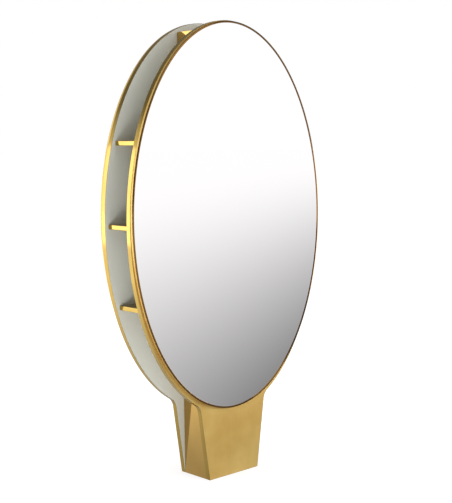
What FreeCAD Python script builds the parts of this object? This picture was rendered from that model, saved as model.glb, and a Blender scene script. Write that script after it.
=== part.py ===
"""Double sided salon station.

Two bulb-shaped panels stand back to back on a narrow foot. A boxed steel spine holds them apart, shelves
run between them on both sides of the spine, and each outer face carries an oval mirror in a thin rim.

Frame: millimetres, +Z up, -Y is the front panel's outer side, the origin is on the floor under the middle.
Every piece is drawn for the front (or for the left side). Its twin at the rear (or on the right side) is
the same piece turned half a turn about Z, as the two halves of the real station are.
"""

import FreeCAD, Part
import math
import os
import re
import Sketcher

Vector = FreeCAD.Vector

DIMENSIONS = (
    # The outline that both panels share: an upright ellipse on a foot that narrows to the floor.
    ("bulb_width", 1000, "full width of the panel's rounded upper part"),
    ("bulb_height", 1540, "full height of the panel's rounded upper part"),
    ("bulb_centre_height", 1023, "height of the middle of the rounded part"),
    ("foot_floor_width", 262, "width of the foot at the floor, and of the spine"),
    ("foot_crotch_width", 350, "width of the foot where it meets the rounded part"),
    ("foot_crotch_rise", 48, "height of that meeting above the lowest point of the rounded part"),
    ("foot_overlap", 110, "how far the foot is carried up inside the rounded part"),
    ("crotch_fillet", 50, "radius of the hollow corner between foot and rounded part"),
    # The layers of one panel, from the gap outward.
    ("panel_gap", 130, "clear distance between the two panels"),
    ("lining_thickness", 1, "pale laminate on the side that faces the gap"),
    ("core_thickness", 18, "board that carries everything on the panel"),
    ("face_thickness", 1, "satin metal sheet on the outer side"),
    ("band_thickness", 1, "polished metal strip round the panel's edge"),
    ("skin_floor_gap", 1, "how far lining, face and band stop above the floor"),
    # The mirror on a panel's outer side.
    ("mirror_side_margin", 2, "panel's edge to rim, at the sides of the rounded part"),
    ("mirror_top_margin", 2, "panel's edge to rim, at the top"),
    ("mirror_bottom_margin", 22, "lowest point of the rounded part to rim, at the bottom"),
    ("glass_thickness", 4, "silvered glass"),
    ("backing_thickness", 6, "board behind the glass"),
    ("rim_width", 8, "width of the rim seen from the front"),
    ("rim_wall", 2, "thickness of the rim's outer wall"),
    ("rim_lip", 3, "depth of the lip that stands in front of the glass"),
    ("glass_play", 0.5, "room between the glass and the rim's outer wall"),
    # The steel frame inside the spine.
    ("spine_drop", 40, "how far the top of the spine's cap lies under the top of the panels"),
    ("post_width", 40, "post, across the station"),
    ("tube_wall", 3, "wall of the posts and rails"),
    ("tube_corner", 6, "outer corner radius of the posts and rails"),
    ("rail_height", 40, "height of a rail's section"),
    ("rail_depth", 60, "depth of a rail's section"),
    ("rail_bottom_distance", 142, "floor plate to the middle of the lowest rail"),
    ("rail_top_distance", 54, "middle of the highest rail to the top of the posts"),
    # The sheet metal round the spine.
    ("cladding_thickness", 1, "polished sheet on the spine's two sides"),
    ("cladding_flange", 35, "width of the flanges caught between post and panel"),
    ("cladding_bend", 1.5, "outer radius of the folds"),
    ("cap_thickness", 1.5, "sheet over the top of the spine"),
    ("cap_flange", 15, "depth of the cap's two turned down edges"),
    ("cap_play", 2, "room between the cap's turned down edges and the posts"),
    # The part that is anchored to the floor.
    ("plate_thickness", 8, "floor plate"),
    ("plate_play", 0.5, "room between the floor plate and the cladding round it"),
    ("anchor_spacing_x", 140, "distance between the anchor holes, across the station"),
    ("anchor_spacing_y", 70, "distance between the anchor holes, from front to rear"),
    ("anchor_hole", 12, "diameter of an anchor hole"),
    ("spigot_height", 120, "height of the spigots that the posts slide over"),
    ("spigot_play", 0.5, "room between a spigot and the inside of its post"),
    ("spigot_wall", 3, "wall of the spigots"),
    # The shelves between the panels.
    ("shelf_thickness", 18, "finished thickness of a shelf"),
    ("shelf_wrap", 1, "sheet folded round a shelf's board"),
    ("shelf_middle_rise", 6, "upper side of the middle shelf above the middle of the rounded part"),
    ("shelf_pitch", 310, "distance from shelf to shelf"),
    ("shelf_inset", 16, "how far a shelf's end lies inside the panel's outline"),
    ("shelf_play", 0.2, "room between a shelf and a panel's lining"),
    ("dowel_diameter", 8, "dowels that carry the shelves"),
    ("dowel_play", 0.1, "room round a dowel"),
    ("dowel_in_panel", 12, "length of a dowel inside the panel"),
    ("dowel_in_shelf", 18, "length of a dowel inside the shelf"),
    ("dowel_end_distance", 60, "distance from a shelf's ends to its dowels"),
    # The bolts that hold a panel to the posts. The mirror covers their heads.
    ("bolt_diameter", 8, "shank"),
    ("bolt_overrun", 4.5, "how far a shank runs on behind its nut"),
    ("bolt_head_diameter", 13, "socket head"),
    ("bolt_head_height", 8, "socket head"),
    ("bolt_socket_width", 6, "hexagon socket, across flats"),
    ("bolt_socket_depth", 4, "hexagon socket"),
    ("bolt_play", 0.3, "room round a shank"),
    ("counterbore_diameter", 16, "recess for a bolt's head"),
    ("counterbore_depth", 9, "recess for a bolt's head"),
    ("bolt_end_distance", 90, "distance from the ends of the glass to the first and last bolts"),
    ("nut_width", 13, "weld nut inside a post, across flats"),
    ("nut_height", 6.5, "weld nut inside a post"),
    ("nut_play", 0.1, "room between a weld nut's bore and the shank"),
)

SHELF_LEVELS = ("low", "middle", "high")
RAIL_COUNT = 4
BOLT_ROWS = 4
FRONT_OR_LEFT = 0
REAR_OR_RIGHT = 180

# Places that several pieces share, each written once from the driving dimensions.
HALF_GAP = "panel_gap / 2"
CORE_INNER = "(panel_gap / 2 + lining_thickness)"
CORE_OUTER = "(panel_gap / 2 + lining_thickness + core_thickness)"
PANEL_OUTER = "(panel_gap / 2 + lining_thickness + core_thickness + face_thickness)"
CROTCH_HEIGHT = "(bulb_centre_height - bulb_height / 2 + foot_crotch_rise)"
FOOT_SLOPE = "((foot_crotch_width - foot_floor_width) / 2 / %s)" % CROTCH_HEIGHT
SPINE_SIDE = "foot_floor_width / 2"
POST_DEPTH = "(panel_gap - 2 * cladding_thickness)"
POST_OUTER = "(foot_floor_width / 2 - cladding_thickness)"
POST_MIDDLE = "(foot_floor_width / 2 - cladding_thickness - post_width / 2)"
POST_INNER = "(foot_floor_width / 2 - cladding_thickness - post_width)"
SPINE_TOP = "(bulb_centre_height + bulb_height / 2 - spine_drop)"
POST_TOP = "(%s - cap_thickness)" % SPINE_TOP
MIRROR_CENTRE = "(bulb_centre_height + (mirror_bottom_margin - mirror_top_margin) / 2)"
RIM_OUTER_WIDTH = "(bulb_width - 2 * mirror_side_margin)"
RIM_OUTER_HEIGHT = "(bulb_height - mirror_top_margin - mirror_bottom_margin)"
GLASS_SHOWN_WIDTH = "(%s - 2 * rim_width)" % RIM_OUTER_WIDTH
GLASS_SHOWN_HEIGHT = "(%s - 2 * rim_width)" % RIM_OUTER_HEIGHT
REBATE_WIDTH = "(%s - 2 * rim_wall)" % RIM_OUTER_WIDTH
REBATE_HEIGHT = "(%s - 2 * rim_wall)" % RIM_OUTER_HEIGHT

document = FreeCAD.newDocument("double_sided_salon_station")
sheet = document.addObject("Spreadsheet::Sheet", "Sizes")
for row, (alias, number, note) in enumerate(DIMENSIONS, 1):
    sheet.set("A%d" % row, alias)
    sheet.set("B%d" % row, str(number))
    sheet.set("C%d" % row, note)
    sheet.setAlias("B%d" % row, alias)
document.recompute()
ALIASES = {alias for alias, number, note in DIMENSIONS}
sub_parts = []


# ---------------------------------------------------------------- helpers

def bound(formula):
    """A formula in the words of the sheet, as an expression that FreeCAD binds to its cells."""
    def cell(found):
        word = found.group(0)
        return "Sizes." + word if word in ALIASES else word
    return re.sub(r"[a-z_]+", cell, formula)


def new_body(name, turn=FRONT_OR_LEFT):
    """A body that becomes one file. The turn about Z makes the rear or the right hand twin."""
    body = document.addObject("PartDesign::Body", name)
    body.Label = name
    body.Placement = FreeCAD.Placement(Vector(), FreeCAD.Rotation(Vector(0, 0, 1), turn))
    sub_parts.append(body)
    return body


def new_sketch(body, role, offset="0"):
    """A sketch on one of the body's own origin planes, moved along the plane's normal.

    The normal of XZ_Plane points to -Y, so an offset there counts outward from the middle of the gap.
    """
    sketch = body.newObject("Sketcher::SketchObject", body.Name + "_sketch")
    plane = [feature for feature in body.Origin.OriginFeatures if feature.Role == role][0]
    sketch.AttachmentSupport = [(plane, "")]
    sketch.MapMode = "FlatFace"
    if offset != "0":
        sketch.setExpression("AttachmentOffset.Base.z", bound(offset))
    return sketch


def bind(sketch, kind, *where_and_formula):
    """Add one constraint whose value follows a formula."""
    *where, formula = where_and_formula
    number = sketch.addConstraint(Sketcher.Constraint(kind, *where, 1.0))
    sketch.setExpression("Constraints[%d]" % number, bound(formula))


def pin_point(sketch, geometry, position, across, up):
    """Hold one point of the sketch at two formulas measured from the sketch's origin."""
    if across == "0":
        sketch.addConstraint(Sketcher.Constraint("PointOnObject", geometry, position, -2))
    else:
        bind(sketch, "DistanceX", -1, 1, geometry, position, across)
    if up == "0":
        sketch.addConstraint(Sketcher.Constraint("PointOnObject", geometry, position, -1))
    else:
        bind(sketch, "DistanceY", -1, 1, geometry, position, up)


def draw_polygon(sketch, corners):
    """A closed outline with every corner held by two formulas."""
    count = len(corners)
    start = [Vector(math.cos(2 * math.pi * k / count), math.sin(2 * math.pi * k / count), 0)
             for k in range(count)]
    sides = [sketch.addGeometry(Part.LineSegment(start[k], start[(k + 1) % count])) for k in range(count)]
    for k in range(count):
        sketch.addConstraint(Sketcher.Constraint("Coincident", sides[k], 2, sides[(k + 1) % count], 1))
    for side, (across, up) in zip(sides, corners):
        pin_point(sketch, side, 1, across, up)


def draw_rectangle(sketch, left, right, bottom, top):
    draw_polygon(sketch, [(left, bottom), (right, bottom), (right, top), (left, top)])


def draw_circle(sketch, across, up, diameter):
    circle = sketch.addGeometry(Part.Circle(Vector(1, 1, 0), Vector(0, 0, 1), 1))
    pin_point(sketch, circle, 3, across, up)
    bind(sketch, "Diameter", circle, diameter)


def draw_hexagon(sketch, across, up, width):
    """A regular hexagon with two level sides, held by its middle and its width across flats."""
    corners = []
    for k in range(6):
        angle = math.radians(60 * k)
        corners.append(("%s + %.9f * %s" % (across, math.cos(angle) / math.sqrt(3), width),
                        "%s + %.9f * %s" % (up, math.sin(angle) / math.sqrt(3), width)))
    draw_polygon(sketch, corners)


def draw_upright_ellipse(sketch, centre_height, full_width, full_height):
    """An ellipse on the sketch's vertical axis, its long axis upright."""
    ellipse = sketch.addGeometry(Part.Ellipse(Vector(0, 2, 0), Vector(-1, 0, 0), Vector(0, 0, 0)))
    sketch.exposeInternalGeometry(ellipse)
    long_axis = ellipse + 1
    short_axis = ellipse + 2
    pin_point(sketch, ellipse, 3, "0", centre_height)
    sketch.addConstraint(Sketcher.Constraint("Vertical", long_axis))
    bind(sketch, "Distance", long_axis, full_height)
    bind(sketch, "Distance", short_axis, full_width)


def pad(body, sketch, length, reverse=False, centred=False):
    feature = body.newObject("PartDesign::Pad", body.Name + "_pad")
    feature.Profile = sketch
    feature.setExpression("Length", bound(length))
    feature.Reversed = reverse
    feature.Midplane = centred
    document.recompute()
    return feature


def pocket(body, sketch, depth, reverse=False, centred=False):
    """Cut the sketch's outline into the body, and see that it took something away."""
    before = body.Shape.Volume
    feature = body.newObject("PartDesign::Pocket", body.Name + "_pocket")
    feature.Profile = sketch
    feature.setExpression("Length", bound(depth))
    feature.Reversed = reverse
    feature.Midplane = centred
    document.recompute()
    if body.Shape.Volume >= before - 1e-6:
        raise RuntimeError("%s cut nothing" % feature.Name)
    return feature


def upright_edges(shape):
    """Names of the straight edges that run along Z."""
    return ["Edge%d" % number for number, edge in enumerate(shape.Edges, 1)
            if len(edge.Vertexes) == 2 and runs_along(edge, 2)]


def runs_along(edge, axis):
    """True when only the given coordinate differs between the edge's two ends."""
    first, last = edge.Vertexes[0].Point, edge.Vertexes[1].Point
    return all(abs(first[k] - last[k]) < 1e-4 for k in range(3) if k != axis)


def fillet(body, edges, radius):
    feature = body.newObject("PartDesign::Fillet", body.Name + "_fillet")
    feature.Base = (feature.BaseFeature, edges)
    feature.setExpression("Radius", bound(radius))
    document.recompute()
    return feature


# ---------------------------------------------------------------- the panels

def add_bulb_outline(body, inner_offset, thickness, inset, bottom):
    """Pad the panel's outline: the ellipse, the foot under it, and the hollow corners between the two."""
    rounded = new_sketch(body, "XZ_Plane", inner_offset)
    draw_upright_ellipse(rounded, "bulb_centre_height", "bulb_width - 2 * %s" % inset,
                         "bulb_height - 2 * %s" % inset)
    pad(body, rounded, thickness)
    foot_top = "(%s + foot_overlap)" % CROTCH_HEIGHT
    half_at_bottom = "(foot_floor_width / 2 - %s + %s * %s)" % (inset, FOOT_SLOPE, bottom)
    half_at_top = "(foot_floor_width / 2 - %s + %s * %s)" % (inset, FOOT_SLOPE, foot_top)
    foot = new_sketch(body, "XZ_Plane", inner_offset)
    draw_polygon(foot, [("-" + half_at_bottom, bottom), (half_at_bottom, bottom),
                        (half_at_top, foot_top), ("-" + half_at_top, foot_top)])
    joined = pad(body, foot, thickness)
    lowest_of_bulb = sheet.bulb_centre_height - sheet.bulb_height / 2
    crotches = ["Edge%d" % number for number, edge in enumerate(joined.Shape.Edges, 1)
                if len(edge.Vertexes) == 2 and runs_along(edge, 1)
                and lowest_of_bulb < edge.Vertexes[0].Z < sheet.bulb_centre_height]
    fillet(body, crotches, "crotch_fillet + %s" % inset)


def bolt_heights():
    """Heights of the bolt rows, evenly spaced behind the glass."""
    half_run = "(%s / 2 - bolt_end_distance)" % GLASS_SHOWN_HEIGHT
    for row_number in range(BOLT_ROWS):
        share = 2 * row_number / (BOLT_ROWS - 1) - 1
        yield "%s + %.9f * %s" % (MIRROR_CENTRE, share, half_run)


def bolt_places():
    """Middle of each bolt of one panel, as formulas across and up."""
    for side in ("-", ""):
        for height in bolt_heights():
            yield side + POST_MIDDLE, height


def shelf_top(level):
    """Height of a shelf's upper side. Level 0 is the lowest shelf and level 1 the middle one."""
    return "(bulb_centre_height + shelf_middle_rise + %d * shelf_pitch)" % (level - 1)


def shelf_middle(level):
    """Height of the middle of a shelf's thickness."""
    return "(%s - shelf_thickness / 2)" % shelf_top(level)


def shelf_reach(level):
    """Distance from the middle of the station to a shelf's outer end."""
    rise = "((%s - bulb_centre_height) / (bulb_height / 2))" % shelf_middle(level)
    return "(bulb_width / 2 * sqrt(1 - %s * %s) - shelf_inset)" % (rise, rise)


def dowel_distances(level):
    """Distances from the middle of the station to a shelf's two rows of dowels."""
    return ("(%s + dowel_end_distance)" % SPINE_SIDE, "(%s - dowel_end_distance)" % shelf_reach(level))


def dowel_places():
    """Middle of each dowel on one panel, as formulas across and up."""
    for level in range(len(SHELF_LEVELS)):
        for side in ("-", ""):
            for distance in dowel_distances(level):
                yield side + distance, shelf_middle(level)


def make_lining(name, turn):
    body = new_body(name, turn)
    add_bulb_outline(body, HALF_GAP, "lining_thickness", "band_thickness", "skin_floor_gap")
    holes = new_sketch(body, "XZ_Plane", HALF_GAP)
    for across, up in bolt_places():
        draw_circle(holes, across, up, "bolt_diameter + 2 * bolt_play")
    for across, up in dowel_places():
        draw_circle(holes, across, up, "dowel_diameter + 2 * dowel_play")
    pocket(body, holes, "lining_thickness", reverse=True)


def make_core(name, turn):
    body = new_body(name, turn)
    add_bulb_outline(body, CORE_INNER, "core_thickness", "band_thickness", "0")
    shanks = new_sketch(body, "XZ_Plane", CORE_INNER)
    heads = new_sketch(body, "XZ_Plane", CORE_OUTER)
    for across, up in bolt_places():
        draw_circle(shanks, across, up, "bolt_diameter + 2 * bolt_play")
        draw_circle(heads, across, up, "counterbore_diameter")
    pocket(body, shanks, "core_thickness", reverse=True)
    pocket(body, heads, "counterbore_depth")
    dowels = new_sketch(body, "XZ_Plane", CORE_INNER)
    for across, up in dowel_places():
        draw_circle(dowels, across, up, "dowel_diameter + 2 * dowel_play")
    pocket(body, dowels, "dowel_in_panel - lining_thickness + dowel_play", reverse=True)


def make_face(name, turn):
    body = new_body(name, turn)
    add_bulb_outline(body, CORE_OUTER, "face_thickness", "band_thickness", "skin_floor_gap")
    holes = new_sketch(body, "XZ_Plane", CORE_OUTER)
    for across, up in bolt_places():
        draw_circle(holes, across, up, "counterbore_diameter")
    pocket(body, holes, "face_thickness", reverse=True)


def make_band(name, turn):
    """The strip round the edge: the full outline less the outline of the layers that it wraps."""
    thickness = "lining_thickness + core_thickness + face_thickness"
    outside = document.addObject("PartDesign::Body", name + "_outside")
    add_bulb_outline(outside, HALF_GAP, thickness, "0", "skin_floor_gap")
    inside = document.addObject("PartDesign::Body", name + "_inside")
    add_bulb_outline(inside, HALF_GAP, thickness, "band_thickness", "0")
    band = document.addObject("Part::Cut", name)
    band.Label = name
    band.Base = outside
    band.Tool = inside
    band.Placement = FreeCAD.Placement(Vector(), FreeCAD.Rotation(Vector(0, 0, 1), turn))
    document.recompute()
    sub_parts.append(band)


def make_bolts(name, turn):
    """Socket head bolts, one solid at each place."""
    solids = []
    head_seat = "(%s - counterbore_depth)" % CORE_OUTER
    nut_end = "(%s - cladding_thickness - tube_wall - nut_height)" % HALF_GAP
    for number, (across, up) in enumerate(bolt_places()):
        body = document.addObject("PartDesign::Body", "%s_%d" % (name, number))
        head = new_sketch(body, "XZ_Plane", head_seat)
        draw_circle(head, across, up, "bolt_head_diameter")
        pad(body, head, "bolt_head_height")
        shank = new_sketch(body, "XZ_Plane", head_seat)
        draw_circle(shank, across, up, "bolt_diameter")
        pad(body, shank, "%s - %s + bolt_overrun" % (head_seat, nut_end), reverse=True)
        key = new_sketch(body, "XZ_Plane", head_seat + " + bolt_head_height")
        draw_hexagon(key, across, up, "bolt_socket_width")
        pocket(body, key, "bolt_socket_depth")
        solids.append(body)
    group_solids(name, solids, turn)


def make_weld_nuts(name, turn):
    """Hexagon nuts welded to the inside of the posts, behind the bolts."""
    solids = []
    nut_seat = "(%s - cladding_thickness - tube_wall)" % HALF_GAP
    for number, (across, up) in enumerate(bolt_places()):
        body = document.addObject("PartDesign::Body", "%s_%d" % (name, number))
        outline = new_sketch(body, "XZ_Plane", nut_seat)
        draw_hexagon(outline, across, up, "nut_width")
        draw_circle(outline, across, up, "bolt_diameter + 2 * nut_play")
        pad(body, outline, "nut_height", reverse=True)
        solids.append(body)
    group_solids(name, solids, turn)


def group_solids(name, solids, turn=FRONT_OR_LEFT):
    """One node that holds equal fasteners side by side as separate solids."""
    group = document.addObject("Part::Compound", name)
    group.Label = name
    group.Links = solids
    group.Placement = FreeCAD.Placement(Vector(), FreeCAD.Rotation(Vector(0, 0, 1), turn))
    document.recompute()
    sub_parts.append(group)


# ---------------------------------------------------------------- the mirrors


def add_mirror_oval(body, offset, thickness, width, height):
    outline = new_sketch(body, "XZ_Plane", offset)
    draw_upright_ellipse(outline, MIRROR_CENTRE, width, height)
    pad(body, outline, thickness)


def make_mirror(end, turn):
    """Backing board, glass and rim of one mirror. The rim's lip holds the glass from the front."""
    inner_width = REBATE_WIDTH + " - 2 * glass_play"
    inner_height = REBATE_HEIGHT + " - 2 * glass_play"
    backing = new_body(end + "_mirror_backing", turn)
    add_mirror_oval(backing, PANEL_OUTER, "backing_thickness", inner_width, inner_height)
    glass = new_body(end + "_mirror_glass", turn)
    add_mirror_oval(glass, PANEL_OUTER + " + backing_thickness", "glass_thickness", inner_width, inner_height)
    rim = new_body(end + "_mirror_rim", turn)
    rebate = "backing_thickness + glass_thickness"
    add_mirror_oval(rim, PANEL_OUTER, rebate + " + rim_lip", RIM_OUTER_WIDTH, RIM_OUTER_HEIGHT)
    window = new_sketch(rim, "XZ_Plane", PANEL_OUTER)
    draw_upright_ellipse(window, MIRROR_CENTRE, GLASS_SHOWN_WIDTH, GLASS_SHOWN_HEIGHT)
    pocket(rim, window, rebate + " + rim_lip", reverse=True)
    seat = new_sketch(rim, "XZ_Plane", PANEL_OUTER)
    draw_upright_ellipse(seat, MIRROR_CENTRE, REBATE_WIDTH, REBATE_HEIGHT)
    pocket(rim, seat, rebate, reverse=True)


# ---------------------------------------------------------------- the spine

def make_tube(name, role, turn, middle, half_size, offset, length, wall):
    """A rectangular tube with rounded corners along the normal of the sketch's plane."""
    body = new_body(name, turn)
    outline = new_sketch(body, role, offset)
    across, up = middle
    half_across, half_up = half_size
    draw_rectangle(outline, "%s - %s" % (across, half_across), "%s + %s" % (across, half_across),
                   "%s - %s" % (up, half_up), "%s + %s" % (up, half_up))
    solid = pad(body, outline, length)
    along = 2 if role == "XY_Plane" else 0
    edges = ["Edge%d" % number for number, edge in enumerate(solid.Shape.Edges, 1) if runs_along(edge, along)]
    fillet(body, edges, "tube_corner")
    bore = new_sketch(body, role, offset)
    draw_rectangle(bore, "%s - %s + %s" % (across, half_across, wall), "%s + %s - %s" % (across, half_across, wall),
                   "%s - %s + %s" % (up, half_up, wall), "%s + %s - %s" % (up, half_up, wall))
    pocket(body, bore, length, reverse=True)
    return body


def make_post(name, turn):
    """A post stands on the floor plate over its spigot and takes the bolts of both panels."""
    body = make_tube(name, "XY_Plane", turn, ("-" + POST_MIDDLE, "0"), ("post_width / 2", POST_DEPTH + " / 2"),
                     "plate_thickness", POST_TOP + " - plate_thickness", "tube_wall")
    holes = new_sketch(body, "XZ_Plane")
    for height in bolt_heights():
        draw_circle(holes, "-" + POST_MIDDLE, height, "bolt_diameter + 2 * bolt_play")
    pocket(body, holes, POST_DEPTH, centred=True)


def make_spigot(name, turn):
    inside_across = "(post_width / 2 - tube_wall - spigot_play)"
    inside_deep = "(%s / 2 - tube_wall - spigot_play)" % POST_DEPTH
    make_tube(name, "XY_Plane", turn, ("-" + POST_MIDDLE, "0"), (inside_across, inside_deep),
              "plate_thickness", "spigot_height", "spigot_wall")


def make_rail(number):
    """Rails are evenly spaced between the lowest and the highest one."""
    lowest = "(plate_thickness + rail_bottom_distance)"
    share = number / (RAIL_COUNT - 1)
    height = "(%s + %.9f * (%s - rail_top_distance - %s))" % (lowest, share, POST_TOP, lowest)
    make_tube("cross_rail_%d" % (number + 1), "YZ_Plane", FRONT_OR_LEFT, ("0", height),
              ("rail_depth / 2", "rail_height / 2"), "-" + POST_INNER, "2 * " + POST_INNER, "tube_wall")


def make_floor_plate():
    body = new_body("floor_plate")
    outline = new_sketch(body, "XY_Plane")
    half_across = "(%s - plate_play)" % POST_OUTER
    half_deep = "(%s / 2 - plate_play)" % POST_DEPTH
    draw_rectangle(outline, "-" + half_across, half_across, "-" + half_deep, half_deep)
    pad(body, outline, "plate_thickness")
    holes = new_sketch(body, "XY_Plane")
    for across in ("-anchor_spacing_x / 2", "anchor_spacing_x / 2"):
        for deep in ("-anchor_spacing_y / 2", "anchor_spacing_y / 2"):
            draw_circle(holes, across, deep, "anchor_hole")
    pocket(body, holes, "plate_thickness", reverse=True)


def make_cladding(name, turn):
    """A channel folded from sheet: the spine's visible side with a flange caught behind each panel."""
    body = new_body(name, turn)
    outline = new_sketch(body, "XY_Plane", "skin_floor_gap")
    outer = "-foot_floor_width / 2"
    web = "-foot_floor_width / 2 + cladding_thickness"
    flange_end = "-foot_floor_width / 2 + cladding_flange"
    inner = "(panel_gap / 2 - cladding_thickness)"
    draw_polygon(outline, [(outer, "-" + HALF_GAP), (flange_end, "-" + HALF_GAP), (flange_end, "-" + inner),
                           (web, "-" + inner), (web, inner), (flange_end, inner),
                           (flange_end, HALF_GAP), (outer, HALF_GAP)])
    channel = pad(body, outline, POST_TOP + " - skin_floor_gap")
    corner = -sheet.foot_floor_width / 2
    folds = [edge for edge in upright_edges(channel.Shape)
             if abs(channel.Shape.getElement(edge).Vertexes[0].X - corner) < 1e-4]
    fillet(body, folds, "cladding_bend")
    holes = new_sketch(body, "XZ_Plane")
    for height in bolt_heights():
        draw_circle(holes, "-" + POST_MIDDLE, height, "bolt_diameter + 2 * bolt_play")
    pocket(body, holes, "panel_gap", centred=True)


def make_cap():
    """The lid of the spine, with two edges turned down between the posts."""
    body = new_body("spine_cap")
    lid = new_sketch(body, "XY_Plane", POST_TOP)
    draw_rectangle(lid, "-foot_floor_width / 2", SPINE_SIDE, "-" + HALF_GAP, HALF_GAP)
    pad(body, lid, "cap_thickness")
    edges = new_sketch(body, "XY_Plane", POST_TOP)
    reach = "(%s - cap_play)" % POST_INNER
    near = "(panel_gap / 2 - cladding_thickness - cap_thickness)"
    far = "(panel_gap / 2 - cladding_thickness)"
    draw_rectangle(edges, "-" + reach, reach, "-" + far, "-" + near)
    draw_rectangle(edges, "-" + reach, reach, near, far)
    pad(body, edges, "cap_flange", reverse=True)


# ---------------------------------------------------------------- the shelves

def make_shelf(side, turn, level):
    """A board with its dowel holes, and the sheet that is folded round its top, end and underside."""
    half_deep = "(panel_gap / 2 - shelf_play)"
    top = shelf_top(level)
    under = "(%s - shelf_thickness)" % top
    reach = shelf_reach(level)
    board = new_body("%s_shelf_board_%s" % (side, SHELF_LEVELS[level]), turn)
    outline = new_sketch(board, "XY_Plane", under + " + shelf_wrap")
    draw_rectangle(outline, "-(%s - shelf_wrap)" % reach, "-(%s + shelf_play)" % SPINE_SIDE,
                   "-" + half_deep, half_deep)
    pad(board, outline, "shelf_thickness - 2 * shelf_wrap")
    for long_edge, reverse in ((half_deep, False), ("-" + half_deep, True)):
        dowels = new_sketch(board, "XZ_Plane", long_edge)
        for distance in dowel_distances(level):
            draw_circle(dowels, "-" + distance, shelf_middle(level), "dowel_diameter + 2 * dowel_play")
        pocket(board, dowels, "dowel_in_shelf + dowel_play", reverse=reverse)
    wrap = new_body("%s_shelf_wrap_%s" % (side, SHELF_LEVELS[level]), turn)
    fold = new_sketch(wrap, "XZ_Plane")
    end = "-" + reach
    root = "-(%s + shelf_play)" % SPINE_SIDE
    draw_polygon(fold, [(end, under), (root, under), (root, under + " + shelf_wrap"),
                        (end + " + shelf_wrap", under + " + shelf_wrap"),
                        (end + " + shelf_wrap", top + " - shelf_wrap"), (root, top + " - shelf_wrap"),
                        (root, top), (end, top)])
    pad(wrap, fold, "panel_gap - 2 * shelf_play", centred=True)


def make_dowels(side, turn):
    """All dowels of one side: each runs from a blind hole in a panel to one in a shelf."""
    solids = []
    inner_end = "(%s - dowel_in_shelf)" % HALF_GAP
    for level in range(len(SHELF_LEVELS)):
        for distance in dowel_distances(level):
            for start in (inner_end, "-(panel_gap / 2 + dowel_in_panel)"):
                body = document.addObject("PartDesign::Body", "%s_dowel_%d" % (side, len(solids)))
                outline = new_sketch(body, "XZ_Plane", start)
                draw_circle(outline, "-" + distance, shelf_middle(level), "dowel_diameter")
                pad(body, outline, "dowel_in_shelf + dowel_in_panel")
                solids.append(body)
    group_solids(side + "_shelf_dowels", solids, turn)


# ---------------------------------------------------------------- the station

for end, turn in (("front", FRONT_OR_LEFT), ("rear", REAR_OR_RIGHT)):
    make_core(end + "_panel_core", turn)
    make_lining(end + "_panel_lining", turn)
    make_face(end + "_panel_face", turn)
    make_band(end + "_edge_band", turn)
    make_mirror(end, turn)
    make_bolts(end + "_panel_bolts", turn)
    make_weld_nuts(end + "_weld_nuts", turn)

make_floor_plate()
for number in range(RAIL_COUNT):
    make_rail(number)
make_cap()

for side, turn in (("left", FRONT_OR_LEFT), ("right", REAR_OR_RIGHT)):
    make_spigot(side + "_floor_spigot", turn)
    make_post(side + "_post", turn)
    make_cladding(side + "_spine_cladding", turn)
    for level in range(len(SHELF_LEVELS)):
        make_shelf(side, turn, level)
    make_dowels(side, turn)


# ---------------------------------------------------------------- checks and files

def check_and_write():
    document.recompute()
    for item in document.Objects:
        if "Invalid" in item.State or "Error" in item.State:
            raise RuntimeError("%s failed: %s" % (item.Name, item.State))
    for item in sub_parts:
        if item.Shape.isNull() or not item.Shape.isValid() or not item.Shape.Solids:
            raise RuntimeError("%s has no valid solid" % item.Label)
    os.makedirs("parts", exist_ok=True)
    for item in sub_parts:
        item.Shape.exportStep("parts/%s.step" % item.Label)
    print("%d sub-parts, %d solids" % (len(sub_parts), sum(len(item.Shape.Solids) for item in sub_parts)))


check_and_write()
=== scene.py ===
"""Looks of the double sided salon station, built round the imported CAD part.

Everything is in metres in the part's own frame: +Z up, -Y is the front panel's outer side, and
the origin is on the floor under the middle. The CAD parts' boxes give the places and most sizes,
and the other sizes are named below. This file remakes the thin metal pieces with rounded edges,
gives each part its finish, and sets up the stage.
"""

import math

import bmesh
import bpy
from bpy.props import FloatProperty, FloatVectorProperty, IntProperty, PointerProperty
from mathutils import Matrix, Vector


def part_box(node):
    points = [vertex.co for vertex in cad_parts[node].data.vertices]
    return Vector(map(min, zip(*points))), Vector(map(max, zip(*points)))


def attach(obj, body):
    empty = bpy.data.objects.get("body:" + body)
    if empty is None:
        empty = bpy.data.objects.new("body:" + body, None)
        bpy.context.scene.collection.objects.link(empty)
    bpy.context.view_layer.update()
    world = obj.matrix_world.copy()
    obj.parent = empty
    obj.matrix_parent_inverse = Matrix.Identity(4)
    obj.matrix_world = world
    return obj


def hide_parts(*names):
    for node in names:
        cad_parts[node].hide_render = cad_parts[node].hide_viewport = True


bl_info = {
    "name": "Double sided salon station",
    "version": (1, 0, 0),
    "blender": (4, 5, 0),
    "location": "View3D > Sidebar > Station",
    "description": "Dresses the CAD parts of a double sided salon station and lights them",
    "category": "Object",
}

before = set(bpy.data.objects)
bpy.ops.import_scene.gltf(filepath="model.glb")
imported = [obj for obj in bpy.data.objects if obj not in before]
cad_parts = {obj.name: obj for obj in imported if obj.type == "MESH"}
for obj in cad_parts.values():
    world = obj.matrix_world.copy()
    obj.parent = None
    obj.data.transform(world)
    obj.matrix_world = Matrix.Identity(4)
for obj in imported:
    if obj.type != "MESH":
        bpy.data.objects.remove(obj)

BODY = "root"
SHELF_LEVELS = ("low", "middle", "high")
HALF_TURN = Matrix.Rotation(math.pi, 4, "Z")

# How near counts as the same: two points and two planes in metres, an oval as a share of it.
SAME_POINT = 1e-6
SAME_PLANE = 1e-5
SAME_OVAL = 1e-3

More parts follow.
